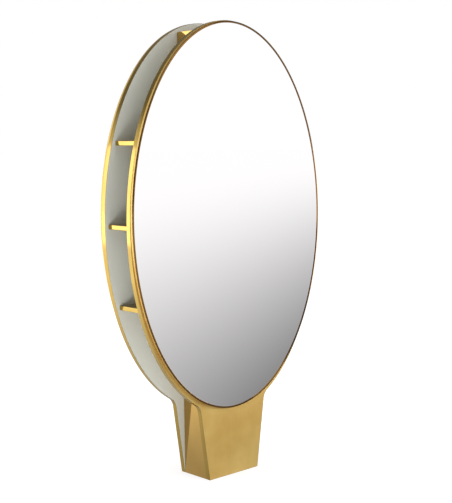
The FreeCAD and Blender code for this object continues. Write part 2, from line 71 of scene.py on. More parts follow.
FLAT_ANGLE = math.radians(0.5)    # faces that turn less than this are one flat face
ROUNDED_ANGLE = math.radians(35)  # edges that turn more than this are rounded
SMOOTH_ANGLE = math.radians(50)   # faces that turn less than this are shaded as one

# Flat strips that make up a rounding.
CUT_EDGE_STEPS = 2
RIM_BEAD_STEPS = 10
RIM_INNER_STEPS = 3
SHELF_FOLD_STEPS = 5


def linear(code):
    """The linear colour of an sRGB hex code, with full alpha."""
    channels = [int(code[k:k + 2], 16) / 255 for k in (1, 3, 5)]
    return [c / 12.92 if c <= 0.04045 else ((c + 0.055) / 1.055) ** 2.4 for c in channels] + [1.0]


def colour(name, description, code):
    """A colour that a user may change, given as its sRGB hex code."""
    return FloatVectorProperty(name=name, description=description, subtype="COLOR", size=4,
                               min=0, max=1, default=linear(code))


def length(name, description, value):
    """A length that a user may change, in metres."""
    return FloatProperty(name=name, description=description, unit="LENGTH", min=0, precision=4,
                         default=value)


def angle(name, description, degrees):
    """An angle that a user may change, given in degrees."""
    return FloatProperty(name=name, description=description, unit="ROTATION",
                         default=math.radians(degrees))


def radiance(name, description, value):
    """A brightness that a user may change, on a scale where 1 is white to the camera."""
    return FloatProperty(name=name, description=description, min=0, default=value)


# ---------------------------------------------------------------- what a user may change

class StationSizes(bpy.types.PropertyGroup):
    """Sizes that the CAD parts' boxes don't give"""

    bulb_height: length("Bulb height", "Full height of the panel's rounded upper part", 1.540)
    foot_width: length("Foot width", "Width of the foot at the floor", 0.262)
    crotch_width: length("Crotch width", "Width of the foot where its slope is measured", 0.350)
    crotch_height: length("Crotch height", "Height at which the foot has that width", 0.301)
    crotch_radius: length("Crotch radius", "Radius of the hollow corner between foot and bulb",
                          0.050)
    strip_thickness: length("Strip thickness", "Metal strip round a panel's edge", 0.001)
    strip_rounding: length("Strip rounding", "Rounding of the strip's long edges", 0.0004)
    rim_width: length("Rim width", "Width of the mirror rim seen from the front", 0.008)
    rim_wall: length("Rim wall", "Thickness of the rim's outer wall", 0.002)
    rim_lip: length("Rim lip", "Depth of the lip in front of the glass", 0.003)
    rim_rounding: length("Rim rounding", "Radius of the bead along the rim's outer front edge",
                         0.0060)
    rim_inner_rounding: length("Rim inner rounding", "Rounding of the rim's edge next to the glass",
                               0.0008)
    shelf_sheet: length("Shelf sheet", "Metal sheet folded round a shelf", 0.001)
    shelf_fold: length("Shelf fold", "Outer radius of the shelf sheet's folds", 0.0022)
    sheet_rounding: length("Sheet rounding", "Rounding of cut sheet edges", 0.0003)
    outline_steps: IntProperty(name="Outline steps", description="Straight pieces in a full oval",
                               min=48, max=720, default=288)
    crotch_steps: IntProperty(name="Crotch steps",
                              description="Straight pieces in a hollow corner",
                              min=4, max=48, default=14)


class StationColours(bpy.types.PropertyGroup):
    """Colours of the finishes"""

    satin_light: colour("Satin gold, light", "Brushed brass sheet where it is lightest", "#E1C47A")
    satin_deep: colour("Satin gold, deep", "Brushed brass sheet where it is deepest", "#D5B267")
    polished: colour("Polished gold", "Mirror polished brass strips and shelf sheets", "#B0944E")
    polished_deep: colour("Polished gold, deep", "The same where it is deepest", "#A98D48")
    spine: colour("Spine gold", "Polished brass sheets of the spine", "#BE9C5B")
    spine_deep: colour("Spine gold, deep", "The same where it is deepest", "#B89554")
    bronze: colour("Bronze", "Dark bronze of the mirror rims", "#76572F")
    laminate: colour("Laminate", "Pale grey-green panel lining", "#D8D9D0")
    silvering: colour("Silvering", "Reflecting layer of the mirrors", "#F3F1F2")
    board: colour("Board", "Raw fibreboard and hardboard", "#9A7B55")
    steel: colour("Black steel", "Powder coat on the inner frame", "#4A4C4E")
    zinc: colour("Zinc", "Zinc plated bolts and nuts", "#B9BDC0")
    beech: colour("Beech", "Beech dowels", "#CFA774")


class StageSettings(bpy.types.PropertyGroup):
    """Camera and light"""

    camera_place: FloatVectorProperty(name="Camera place", description="Where the camera stands",
                                      subtype="XYZ", unit="LENGTH",
                                      default=(-2.9362, -3.2136, 1.3647))
    camera_yaw: angle("Camera yaw", "Turn of the view from +Y towards +X", 42.911)
    camera_pitch: angle("Camera pitch", "How far the camera looks down", 6.205)
    camera_roll: angle("Camera roll", "Turn of the picture about the line of sight", -0.820)
    lens: FloatProperty(name="Lens", description="Focal length on a 36 mm long side",
                        unit="CAMERA", min=10, max=300, default=78.48)
    front_wall: radiance("Front wall", "Radiance of the wall that the front faces", 1.15)
    left_wall: radiance("Left wall", "Radiance of the wall on the left", 0.15)
    front_ceiling: radiance("Front ceiling", "Radiance of the ceiling before the front", 0.35)
    back_wall: radiance("Back wall", "Radiance of the wall behind, on the left", 1.5)
    right_wall: radiance("Right wall", "Radiance of the wall behind, on the right", 0.3)
    back_ceiling: radiance("Back ceiling", "Radiance of the ceiling behind", 0.28)
    floor_far: radiance("Far floor", "Radiance of the floor far away, as metal sees it", 1.13)
    floor_near: radiance("Near floor", "Radiance of the floor at the foot, as metal sees it",
                         0.10)
    floor_pool: radiance("Floor pool", "Radiance added to the floor round the foot, for metal",
                         0.7)
    floor_left: radiance("Left floor", "Radiance added to the floor far to the left, for metal",
                         0.9)
    softbox: radiance("Softboxes", "Radiance of the softboxes", 1.7)


# ---------------------------------------------------------------- modelling helpers

def edit(kind):
    """Go into edit mode on the active piece, to work on its vertices, edges or faces."""
    bpy.ops.object.mode_set(mode="EDIT")
    bpy.ops.mesh.select_mode(type=kind)


def pick(kind, test):
    """Select the vertices, edges or faces whose corners pass the test, and nothing else."""
    bpy.ops.mesh.select_mode(type=kind)
    bpy.ops.mesh.select_all(action="DESELECT")
    mesh = bmesh.from_edit_mesh(bpy.context.edit_object.data)
    found = 0
    for element in {"VERT": mesh.verts, "EDGE": mesh.edges, "FACE": mesh.faces}[kind]:
        corners = [element.co] if kind == "VERT" else [corner.co for corner in element.verts]
        if test(*corners):
            element.select_set(True)
            found += 1
    bmesh.update_edit_mesh(bpy.context.edit_object.data)
    if not found:
        raise RuntimeError("nothing to select on %s" % bpy.context.edit_object.name)


def middle(corners):
    """The mean of some points."""
    return sum(corners, Vector()) / len(corners)


def new_oval(name, half_width, half_height, centre):
    """An upright oval of edges in a plane of constant Y, its place already in its mesh."""
    steps = bpy.context.scene.station_sizes.outline_steps
    bpy.ops.object.select_all(action="DESELECT")
    bpy.ops.mesh.primitive_circle_add(vertices=steps, radius=1, location=centre,
                                      rotation=(math.pi / 2, 0, 0))
    oval = bpy.context.active_object
    oval.name = oval.data.name = name
    bpy.ops.transform.resize(value=(half_width, 1, half_height))
    bpy.ops.object.transform_apply()
    return oval


def apply_modifier(piece, kind, **settings):
    """Put a modifier with these settings on the active piece and apply it."""
    modifier = piece.modifiers.new(kind.title(), kind)
    for setting, value in settings.items():
        setattr(modifier, setting, value)
    bpy.ops.object.modifier_apply(modifier=modifier.name)


def thicken(piece, thickness):
    """Turn a surface into sheet metal whose outer side stays where the surface was."""
    apply_modifier(piece, "SOLIDIFY", thickness=thickness, offset=-1, use_even_offset=True)


def round_edges(piece, width):
    """Round every sharp edge and keep the flats flat to the eye."""
    apply_modifier(piece, "BEVEL", width=width, segments=CUT_EDGE_STEPS, limit_method="ANGLE",
                   angle_limit=ROUNDED_ANGLE, use_clamp_overlap=True)
    bpy.ops.object.shade_smooth_by_angle(angle=SMOOTH_ANGLE)
    apply_modifier(piece, "WEIGHTED_NORMAL", mode="FACE_AREA", weight=100, keep_sharp=True)


def copy_of(piece, name):
    """A copy of a piece with a mesh of its own, as the active and only selected piece."""
    bpy.ops.object.select_all(action="DESELECT")
    piece.select_set(True)
    bpy.context.view_layer.objects.active = piece
    bpy.ops.object.duplicate()
    copy = bpy.context.active_object
    copy.name = copy.data.name = name
    return copy


def twin(piece, name):
    """The same piece turned half a turn about Z."""
    copy = copy_of(piece, name)
    copy.data.transform(HALF_TURN)
    return copy


def dress(piece, *finishes):
    """Give a piece its finishes. The first one covers it until faces are given another."""
    piece.data.materials.clear()
    for finish in finishes:
        piece.data.materials.append(finish)


def settle(piece, slot, *nodes):
    """Hide the CAD nodes that a finished piece stands for, and give the piece its body. The slot
    argument is not used.
    """
    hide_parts(*nodes)
    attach(piece, BODY)


# ---------------------------------------------------------------- materials

def add_node(tree, kind, settings, links):
    """Add one node, give it its settings and input values, and link its inputs to outputs."""
    node = tree.nodes.new(kind)
    for name, value in settings.items():
        if isinstance(name, str) and hasattr(node, name):
            setattr(node, name, value)
        else:
            node.inputs[name].default_value = value
    for name, output in links.items():
        tree.links.new(output, node.inputs[name])
    return node


def new_material(name):
    """An empty material, its node tree, and the position on the piece in metres."""
    material = bpy.data.materials.get(name) or bpy.data.materials.new(name)
    material.use_nodes = True
    material.node_tree.nodes.clear()
    place = add_node(material.node_tree, "ShaderNodeTexCoord", {}, {})
    return material, material.node_tree, place.outputs["Object"]


def satin_brass():
    """Brass sheet, brushed and lacquered: long upright grain, soft broad sheen, cloudy colour."""
    colours = bpy.context.scene.station_colours
    material, tree, place = new_material("satin_brass")
    # Clouds about 150 mm across, where the brass darkened a little before it was lacquered.
    clouds = add_node(tree, "ShaderNodeTexNoise", {"Scale": 6.5, "Detail": 3.0, "Roughness": 0.55},
                      {"Vector": place})
    cloud_share = add_node(tree, "ShaderNodeMapRange", {"From Min": 0.35, "From Max": 0.68},
                           {"Value": clouds.outputs["Fac"]})
    base = add_node(tree, "ShaderNodeMix",
                    {"data_type": "RGBA", 6: colours.satin_deep, 7: colours.satin_light},
                    {0: cloud_share.outputs["Result"]})
    # The grain's lines are 0.2 mm apart. They are drawn 2 mm apart, or they wouldn't show.
    along = add_node(tree, "ShaderNodeMapping", {"Scale": (500.0, 500.0, 7.0)}, {"Vector": place})
    grain = add_node(tree, "ShaderNodeTexNoise", {"Scale": 1.0, "Detail": 2.0, "Roughness": 0.6},
                     {"Vector": along.outputs["Vector"]})
    roughness = add_node(tree, "ShaderNodeMapRange",
                         {"From Min": 0.3, "From Max": 0.7, "To Min": 0.58, "To Max": 0.66},
                         {"Value": grain.outputs["Fac"]})
    bump = add_node(tree, "ShaderNodeBump", {"Strength": 0.12, "Distance": 0.0002},
                    {"Height": grain.outputs["Fac"]})
    shader = add_node(tree, "ShaderNodeBsdfPrincipled", {"Metallic": 1.0},
                      {"Base Color": base.outputs[2], "Roughness": roughness.outputs["Result"],
                       "Normal": bump.outputs["Normal"]})
    add_node(tree, "ShaderNodeOutputMaterial", {}, {"Surface": shader.outputs["BSDF"]})
    return material


def polished_brass(name, clean, smeared, light="polished", deep="polished_deep"):
    """Brass sheet polished to a mirror: slow waves and a few dull smears. The roughness is given
    where it is clean and where it is smeared."""
    colours = bpy.context.scene.station_colours
    material, tree, place = new_material(name)
    # Waves about 90 mm long, from rolling and folding the thin sheet.
    waves = add_node(tree, "ShaderNodeTexNoise", {"Scale": 11.0, "Detail": 1.0}, {"Vector": place})
    bump = add_node(tree, "ShaderNodeBump", {"Strength": 0.25, "Distance": 0.0012},
                    {"Height": waves.outputs["Fac"]})
    # Smears about 30 mm across, from wiping.
    smears = add_node(tree, "ShaderNodeTexNoise",
                      {"Scale": 34.0, "Detail": 4.0, "Roughness": 0.65}, {"Vector": place})
    roughness = add_node(tree, "ShaderNodeMapRange",
                         {"From Min": 0.4, "From Max": 0.75, "To Min": clean, "To Max": smeared},
                         {"Value": smears.outputs["Fac"]})
    tint_share = add_node(tree, "ShaderNodeMapRange", {"From Min": 0.3, "From Max": 0.7},
                          {"Value": waves.outputs["Fac"]})
    base = add_node(tree, "ShaderNodeMix",
                    {"data_type": "RGBA", 6: getattr(colours, deep), 7: getattr(colours, light)},
                    {0: tint_share.outputs["Result"]})
    shader = add_node(tree, "ShaderNodeBsdfPrincipled", {"Metallic": 1.0},
                      {"Base Color": base.outputs[2], "Roughness": roughness.outputs["Result"],
                       "Normal": bump.outputs["Normal"]})
    add_node(tree, "ShaderNodeOutputMaterial", {}, {"Surface": shader.outputs["BSDF"]})
    return material


def bronze_rim():
    """Brass stained to a dark bronze and polished: brown, with a fine grit left in it."""
    colours = bpy.context.scene.station_colours
    material, tree, place = new_material("bronzed_brass")
    # The stain varies over about 60 mm.
    stain = add_node(tree, "ShaderNodeTexNoise", {"Scale": 16.0, "Detail": 2.0}, {"Vector": place})
    tone = add_node(tree, "ShaderNodeMapRange", {"To Min": 0.85, "To Max": 1.15},
                    {"Value": stain.outputs["Fac"]})
    base = add_node(tree, "ShaderNodeVectorMath", {"operation": "SCALE", 0: colours.bronze[:3]},
                    {"Scale": tone.outputs["Result"]})
    # The grit's marks are 0.1 mm wide. They are drawn about 1 mm wide, or they wouldn't show.
    grit = add_node(tree, "ShaderNodeTexNoise", {"Scale": 900.0, "Detail": 2.0}, {"Vector": place})
    bump = add_node(tree, "ShaderNodeBump", {"Strength": 0.1, "Distance": 0.0001},
                    {"Height": grit.outputs["Fac"]})
    shader = add_node(tree, "ShaderNodeBsdfPrincipled", {"Metallic": 1.0, "Roughness": 0.12},
                      {"Base Color": base.outputs["Vector"], "Normal": bump.outputs["Normal"]})
    add_node(tree, "ShaderNodeOutputMaterial", {}, {"Surface": shader.outputs["BSDF"]})
    return material


def pale_laminate():
    """High pressure laminate, satin: even grey-green with a faint pearl texture."""
    colours = bpy.context.scene.station_colours
    material, tree, place = new_material("pale_laminate")
    # Faint patches about 200 mm across.
    patches = add_node(tree, "ShaderNodeTexNoise", {"Scale": 5.0, "Detail": 2.0},
                       {"Vector": place})
    tone = add_node(tree, "ShaderNodeMapRange", {"To Min": 0.95, "To Max": 1.05},
                    {"Value": patches.outputs["Fac"]})
    base = add_node(tree, "ShaderNodeVectorMath", {"operation": "SCALE", 0: colours.laminate[:3]},
                    {"Scale": tone.outputs["Result"]})
    # The pearl's grains are 0.3 mm wide. They are drawn 1 mm wide, or they wouldn't show.
    pearl = add_node(tree, "ShaderNodeTexNoise", {"Scale": 1000.0, "Detail": 2.0},
                     {"Vector": place})
    bump = add_node(tree, "ShaderNodeBump", {"Strength": 0.06, "Distance": 0.0001},
                    {"Height": pearl.outputs["Fac"]})
    roughness = add_node(tree, "ShaderNodeMapRange", {"To Min": 0.38, "To Max": 0.52},
                         {"Value": pearl.outputs["Fac"]})
    shader = add_node(tree, "ShaderNodeBsdfPrincipled", {"IOR": 1.5},
                      {"Base Color": base.outputs["Vector"],
                       "Roughness": roughness.outputs["Result"], "Normal": bump.outputs["Normal"]})
    add_node(tree, "ShaderNodeOutputMaterial", {}, {"Surface": shader.outputs["BSDF"]})
    return material


def silvered_glass():
    """Float glass silvered on its back: a clean, flat mirror, a trace darker than what it shows."""
    colours = bpy.context.scene.station_colours
    material, tree, place = new_material("silvered_glass")
    # A trace of polish left in streaks about 80 mm apart.
    streaks = add_node(tree, "ShaderNodeTexNoise",
                       {"Scale": 12.0, "Detail": 3.0, "Roughness": 0.7}, {"Vector": place})
    roughness = add_node(tree, "ShaderNodeMapRange",
                         {"From Min": 0.45, "From Max": 0.8, "To Min": 0.0, "To Max": 0.02},
                         {"Value": streaks.outputs["Fac"]})
    shader = add_node(tree, "ShaderNodeBsdfPrincipled",
                      {"Metallic": 1.0, "Base Color": colours.silvering},
                      {"Roughness": roughness.outputs["Result"]})
    add_node(tree, "ShaderNodeOutputMaterial", {}, {"Surface": shader.outputs["BSDF"]})
    return material


def raw_board(name, brightness):
    """Fibreboard or thin hardboard: felted brown fibres, dull."""
    colours = bpy.context.scene.station_colours
    material, tree, place = new_material(name)
    # Fibre bundles about 2 mm long.
    fibres = add_node(tree, "ShaderNodeTexNoise",
                      {"Scale": 450.0, "Detail": 4.0, "Roughness": 0.7}, {"Vector": place})
    tone = add_node(tree, "ShaderNodeMapRange",
                    {"To Min": 0.7 * brightness, "To Max": 1.25 * brightness},
                    {"Value": fibres.outputs["Fac"]})
    base = add_node(tree, "ShaderNodeVectorMath", {"operation": "SCALE", 0: colours.board[:3]},
                    {"Scale": tone.outputs["Result"]})
    bump = add_node(tree, "ShaderNodeBump", {"Strength": 0.3, "Distance": 0.0003},
                    {"Height": fibres.outputs["Fac"]})
    shader = add_node(tree, "ShaderNodeBsdfPrincipled", {"Roughness": 0.85, "IOR": 1.45},
                      {"Base Color": base.outputs["Vector"], "Normal": bump.outputs["Normal"]})
    add_node(tree, "ShaderNodeOutputMaterial", {}, {"Surface": shader.outputs["BSDF"]})
    return material


def powder_coated_steel():
    """Steel tube, powder coated black: a baked skin with a slight orange peel."""
    colours = bpy.context.scene.station_colours
    material, tree, place = new_material("powder_coated_steel")
    # Orange peel about 2 mm across.
    peel = add_node(tree, "ShaderNodeTexNoise", {"Scale": 500.0, "Detail": 1.0}, {"Vector": place})
    bump = add_node(tree, "ShaderNodeBump", {"Strength": 0.25, "Distance": 0.0002},
                    {"Height": peel.outputs["Fac"]})
    roughness = add_node(tree, "ShaderNodeMapRange", {"To Min": 0.45, "To Max": 0.62},
                         {"Value": peel.outputs["Fac"]})
    shader = add_node(tree, "ShaderNodeBsdfPrincipled", {"Base Color": colours.steel, "IOR": 1.5},
                      {"Roughness": roughness.outputs["Result"], "Normal": bump.outputs["Normal"]})
    add_node(tree, "ShaderNodeOutputMaterial", {}, {"Surface": shader.outputs["BSDF"]})
    return material


def zinc_plated_steel():
    """Steel, bright zinc plated: pale metal with faint, uneven spangle."""
    colours = bpy.context.scene.station_colours
    material, tree, place = new_material("zinc_plated_steel")
    # Plating spangle about 3 mm across.
    spangle = add_node(tree, "ShaderNodeTexVoronoi", {"Scale": 330.0}, {"Vector": place})
    roughness = add_node(tree, "ShaderNodeMapRange", {"To Min": 0.25, "To Max": 0.45},
                         {"Value": spangle.outputs["Distance"]})
    shader = add_node(tree, "ShaderNodeBsdfPrincipled",
                      {"Metallic": 1.0, "Base Color": colours.zinc},
                      {"Roughness": roughness.outputs["Result"]})
    add_node(tree, "ShaderNodeOutputMaterial", {}, {"Surface": shader.outputs["BSDF"]})
    return material


def beech_dowel():
    """Turned beech: pale, with short darker flecks along the grain."""
    colours = bpy.context.scene.station_colours
    material, tree, place = new_material("beech")
    # Flecks 0.4 mm wide and 3 mm long. Dowels lie along Y.
    along = add_node(tree, "ShaderNodeMapping", {"Scale": (2500.0, 330.0, 2500.0)},
                     {"Vector": place})
    flecks = add_node(tree, "ShaderNodeTexNoise", {"Scale": 1.0, "Detail": 3.0},
                      {"Vector": along.outputs["Vector"]})
    tone = add_node(tree, "ShaderNodeMapRange", {"To Min": 0.7, "To Max": 1.15},
                    {"Value": flecks.outputs["Fac"]})
    base = add_node(tree, "ShaderNodeVectorMath", {"operation": "SCALE", 0: colours.beech[:3]},
                    {"Scale": tone.outputs["Result"]})
    shader = add_node(tree, "ShaderNodeBsdfPrincipled", {"Roughness": 0.55, "IOR": 1.5},
                      {"Base Color": base.outputs["Vector"]})
    add_node(tree, "ShaderNodeOutputMaterial", {}, {"Surface": shader.outputs["BSDF"]})
    return material


# The finish of each material slot that the CAD parts name.
FINISHES = {
    "satin_gold": satin_brass,
    "polished_gold_band": lambda: polished_brass("polished_brass_strip", 0.09, 0.16),
    "polished_gold": lambda: polished_brass("polished_brass_sheet", 0.03, 0.07,
                                            "spine", "spine_deep"),
    "polished_gold_shelf": lambda: polished_brass("polished_brass_shelf_sheet", 0.08, 0.16),
    "bronze": bronze_rim,
    "pale_laminate": pale_laminate,
    "mirror": silvered_glass,
    "board": lambda: raw_board("fibreboard", 1.0),
    "backing_board": lambda: raw_board("hardboard", 0.8),
    "frame_steel": powder_coated_steel,
    "zinc_steel": zinc_plated_steel,
    "beech": beech_dowel,
}


# ---------------------------------------------------------------- the pieces

# Each halving of a quarter turn adds a binary digit, so 40 leave nothing that can be measured.
HALVINGS = 40


def crotch_path(half_width, half_height, centre_height, floor_height):
    """Points from the oval round the right hollow corner and down the foot, as X and Z."""
    sizes = bpy.context.scene.station_sizes
    foot = Vector((sizes.foot_width / 2, 0))
    slope = (sizes.crotch_width / 2 - foot.x) / sizes.crotch_height
    away = Vector((1, -slope)).normalized()
    # Halve the range until the corner's circle, which touches the oval, touches the foot too.
    low, high = 0.0, math.pi / 2
    for _ in range(HALVINGS):
        turn = (low + high) / 2
        touch = Vector((half_width * math.sin(turn),
                        centre_height - half_height * math.cos(turn)))
        normal = Vector((math.sin(turn) / half_width, -math.cos(turn) / half_height)).normalized()
        corner = touch + sizes.crotch_radius * normal
        if (corner - foot).dot(away) < sizes.crotch_radius:
            low = turn
        else:
            high = turn
    first, last = math.atan2(-normal.y, -normal.x), math.atan2(-away.y, -away.x)
    turns = [first + (last - first) * step / sizes.crotch_steps
             for step in range(sizes.crotch_steps + 1)]
    path = [corner + sizes.crotch_radius * Vector((math.cos(turn), math.sin(turn)))
            for turn in turns]
    return path + [foot + floor_height * Vector((slope, 1))]


class STATION_OT_edge_strips(bpy.types.Operator):
    """Model the polished strips round the edges of both panels"""

    bl_idname = "station.edge_strips"
    bl_label = "Edge strips"

    def execute(self, context):
        sizes = context.scene.station_sizes
        low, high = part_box("front_edge_band")
        half_width = (high.x - low.x) / 2
        half_height = sizes.bulb_height / 2
        centre_height = high.z - half_height
        strip = new_oval("front_edge_strip", half_width, half_height, (0, low.y, centre_height))
        path = crotch_path(half_width, half_height, centre_height, low.z)
        # Open the oval above the foot, and lead both ends round the corners to the floor.
        edit("VERT")
        pick("VERT", lambda v: v.z < centre_height and abs(v.x) < path[0].x + sizes.strip_thickness)
        bpy.ops.mesh.delete(type="VERT")
        mesh = bmesh.from_edit_mesh(strip.data)
        ends = [vertex.co.copy() for vertex in mesh.verts if len(vertex.link_edges) == 1]
        for end in ends:
            pick("VERT", lambda v: (v - end).length < SAME_POINT)
            for across, height in path:
                place = Vector((math.copysign(across, end.x), low.y, height))
                bpy.ops.mesh.extrude_vertices_move(TRANSFORM_OT_translate={"value": place - end})
                end = place
        # Draw the line out to the strip's depth.
        bpy.ops.mesh.select_all(action="SELECT")
        bpy.ops.mesh.extrude_region_move(TRANSFORM_OT_translate={"value": (0, high.y - low.y, 0)})
        bpy.ops.mesh.select_all(action="SELECT")
        bpy.ops.mesh.normals_make_consistent(inside=False)
        bpy.ops.object.mode_set(mode="OBJECT")
        thicken(strip, sizes.strip_thickness)
        round_edges(strip, sizes.strip_rounding)
        dress(strip, FINISHES["polished_gold_band"]())
        rear = twin(strip, "rear_edge_strip")
        settle(strip, "polished_gold_band", "front_edge_band")
        settle(rear, "polished_gold_band", "rear_edge_band")
        return {"FINISHED"}


class STATION_OT_mirror_rims(bpy.types.Operator):
    """Model the bronze rims that hold both mirrors"""

    bl_idname = "station.mirror_rims"
    bl_label = "Mirror rims"

    def execute(self, context):
        sizes = context.scene.station_sizes
        low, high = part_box("front_mirror_rim")
        half_width, half_height = (high.x - low.x) / 2, (high.z - low.z) / 2
        centre = Vector((0, high.y, (low.z + high.z) / 2))
        rim = new_oval("front_rim", half_width, half_height, centre)

        def step(inset_from, inset_to, forward):
            """Carry the selected loop on, to another inset from the outer oval and along Y."""
            across, upward = [(half - inset_to) / (half - inset_from)
                              for half in (half_width, half_height)]
            bpy.ops.mesh.extrude_region_move(TRANSFORM_OT_translate={"value": (0, forward, 0)})
            bpy.ops.transform.resize(value=(across, 1, upward), center_override=centre)

        # Once round the rim's section: outer wall, front, lip, rebate and inner wall.
        depth = high.y - low.y
        edit("EDGE")
        bpy.ops.mesh.select_all(action="SELECT")
        step(0, 0, -depth)
        step(0, sizes.rim_width, 0)
        step(sizes.rim_width, sizes.rim_width, sizes.rim_lip)
        step(sizes.rim_width, sizes.rim_wall, 0)
        step(sizes.rim_wall, sizes.rim_wall, depth - sizes.rim_lip)
        pick("EDGE", lambda *ends: all(v.y > high.y - SAME_PLANE for v in ends))
        bpy.ops.mesh.bridge_edge_loops()
        bpy.ops.mesh.select_all(action="SELECT")
        bpy.ops.mesh.normals_make_consistent(inside=False)

        def share(point, inset):
            """1 on the oval that lies this far inside the rim's outline, more outside it."""
            return math.hypot(point.x / (half_width - inset),
                              (point.z - centre.z) / (half_height - inset))

        for inset, radius, segments in (
                (0, sizes.rim_rounding, RIM_BEAD_STEPS),
                (sizes.rim_width, sizes.rim_inner_rounding, RIM_INNER_STEPS)):
            pick("EDGE", lambda *ends: all(v.y < low.y + SAME_PLANE
                                           and abs(share(v, inset) - 1) < SAME_OVAL
                                           for v in ends))
            bpy.ops.mesh.bevel(offset=radius, segments=segments, profile=0.5, affect="EDGES")
        bpy.ops.object.mode_set(mode="OBJECT")
        round_edges(rim, sizes.sheet_rounding)
        # The outer wall is brushed brass, like the face that it stands on, up into the bead.
        dress(rim, FINISHES["bronze"](), FINISHES["satin_gold"]())
        brushed_inset = sizes.rim_rounding / 5
        brushed_front = low.y + sizes.rim_rounding / 2
        edit("FACE")
        pick("FACE", lambda *corners: all(share(v, brushed_inset) > 1
                                          and v.y > brushed_front - SAME_PLANE for v in corners))
        rim.active_material_index = 1
        bpy.ops.object.material_slot_assign()
        bpy.ops.object.mode_set(mode="OBJECT")
        rear = twin(rim, "rear_rim")
        settle(rim, "bronze", "front_mirror_rim")
        settle(rear, "bronze", "rear_mirror_rim")
        return {"FINISHED"}


class STATION_OT_shelf_sheets(bpy.types.Operator):
    """Model the brass sheets folded round the shelves"""

    bl_idname = "station.shelf_sheets"
    bl_label = "Shelf sheets"

    def execute(self, context):
        sizes = context.scene.station_sizes
        finish = FINISHES["polished_gold_shelf"]()
        for level in SHELF_LEVELS:
            node = "left_shelf_wrap_" + level
            low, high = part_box(node)
            bpy.ops.object.select_all(action="DESELECT")
            bpy.ops.mesh.primitive_cube_add(size=1, location=(low + high) / 2)
            sheet = context.active_object
            sheet.name = sheet.data.name = "left_shelf_sheet_" + level
            bpy.ops.transform.resize(value=high - low)
            bpy.ops.object.transform_apply()
            edit("FACE")
            # The sheet is open towards the spine and towards both panels.
            pick("FACE", lambda *corners: middle(corners).x > high.x - SAME_PLANE
                 or abs(middle(corners).y) > high.y - SAME_PLANE)
            bpy.ops.mesh.delete(type="FACE")
            # It is folded twice round the shelf's outer end.
            pick("EDGE", lambda *ends: all(v.x < low.x + SAME_PLANE for v in ends)
                 and abs(ends[0].y - ends[1].y) > SAME_PLANE)
            bpy.ops.mesh.bevel(offset=sizes.shelf_fold, segments=SHELF_FOLD_STEPS, profile=0.5,
                               affect="EDGES")
            bpy.ops.object.mode_set(mode="OBJECT")
            thicken(sheet, sizes.shelf_sheet)
            round_edges(sheet, sizes.sheet_rounding)
            dress(sheet, finish)
            right = twin(sheet, "right_shelf_sheet_" + level)
            settle(sheet, "polished_gold_shelf", node)
            settle(right, "polished_gold_shelf", "right_shelf_wrap_" + level)
        return {"FINISHED"}


class STATION_OT_spine_sheets(bpy.types.Operator):
    """Round the cut edges of the spine's folded sheets and lid"""

    bl_idname = "station.spine_sheets"
    bl_label = "Spine sheets"

    def execute(self, context):
        sizes = context.scene.station_sizes
        finish = FINISHES["polished_gold"]()
        for node, name in (("left_spine_cladding", "left_spine_sheet"),
                           ("right_spine_cladding", "right_spine_sheet"),
                           ("spine_cap", "spine_lid")):
            sheet = copy_of(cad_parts[node], name)
            # The copy is a piece of its own, so it doesn't keep the CAD node's tags.
            for key in list(sheet.keys()):
                del sheet[key]
            # Join the CAD node's loose triangles into flat faces.
            edit("VERT")
            bpy.ops.mesh.select_all(action="SELECT")
            bpy.ops.mesh.customdata_custom_splitnormals_clear()
            bpy.ops.mesh.remove_doubles(threshold=SAME_POINT)
            bpy.ops.mesh.dissolve_limited(angle_limit=FLAT_ANGLE)
            bpy.ops.object.mode_set(mode="OBJECT")
            round_edges(sheet, sizes.sheet_rounding)
            dress(sheet, finish)
            settle(sheet, "polished_gold", node)
        return {"FINISHED"}


class STATION_OT_finishes(bpy.types.Operator):
    """Give every CAD part that is carried over the finish of its material slot"""

    bl_idname = "station.finishes"
    bl_label = "Finishes"

    def execute(self, context):
        made = {slot: make() for slot, make in FINISHES.items()}
        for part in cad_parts.values():
            for slot in part.material_slots:
                slot.material = made.get(slot.material.name, slot.material)
        return {"FINISHED"}


# ---------------------------------------------------------------- the stage

WHITE = linear("#FFFFFF")
SENSOR_WIDTH = 36  # millimetres

# The studio as metal sees it, by direction. Each pair is where one part of it begins to turn
# into the next, and where it has done so.
FRONT_WALL_AHEAD = (0.64, -0.77, 0)
LEFT_TO_FRONT_WALL = (0.52, 0.80)     # along FRONT_WALL_AHEAD
WALL_TO_FRONT_CEILING = (0.15, 0.60)  # along Z
BACK_TO_RIGHT_WALL = (0.10, 0.45)     # along X
WALL_TO_BACK_CEILING = (0.25, 0.52)   # along Z
FRONT_TO_BACK = (-0.10, 0.30)         # along Y

FLOOR_SIZE = 120  # metres

# The floor as metal sees it. The station's shade lies on a line from the foot to the front
# right. It fades e times for each unit away from that line or towards the back left.
ACROSS_SHADE = (-0.300, -0.507, 0)  # units for each metre along X and Y
BACK_LEFT = (-0.990, 0.570, 0)      # the same, towards the back left
FARTHEST_LEFT = 10.0                # units, and no floor counts as farther
LEFT_LIT = 3.0                      # units, where the floor on the left is fully lit
POOL_FADE = math.exp(-4)            # what is left of the pool of light a metre from the foot

# The floor as the camera sees it.
FOOT_DIMMING = 0.35                 # how much less than white it glows at the foot
FLOOR_REFLECTANCE = 0.35

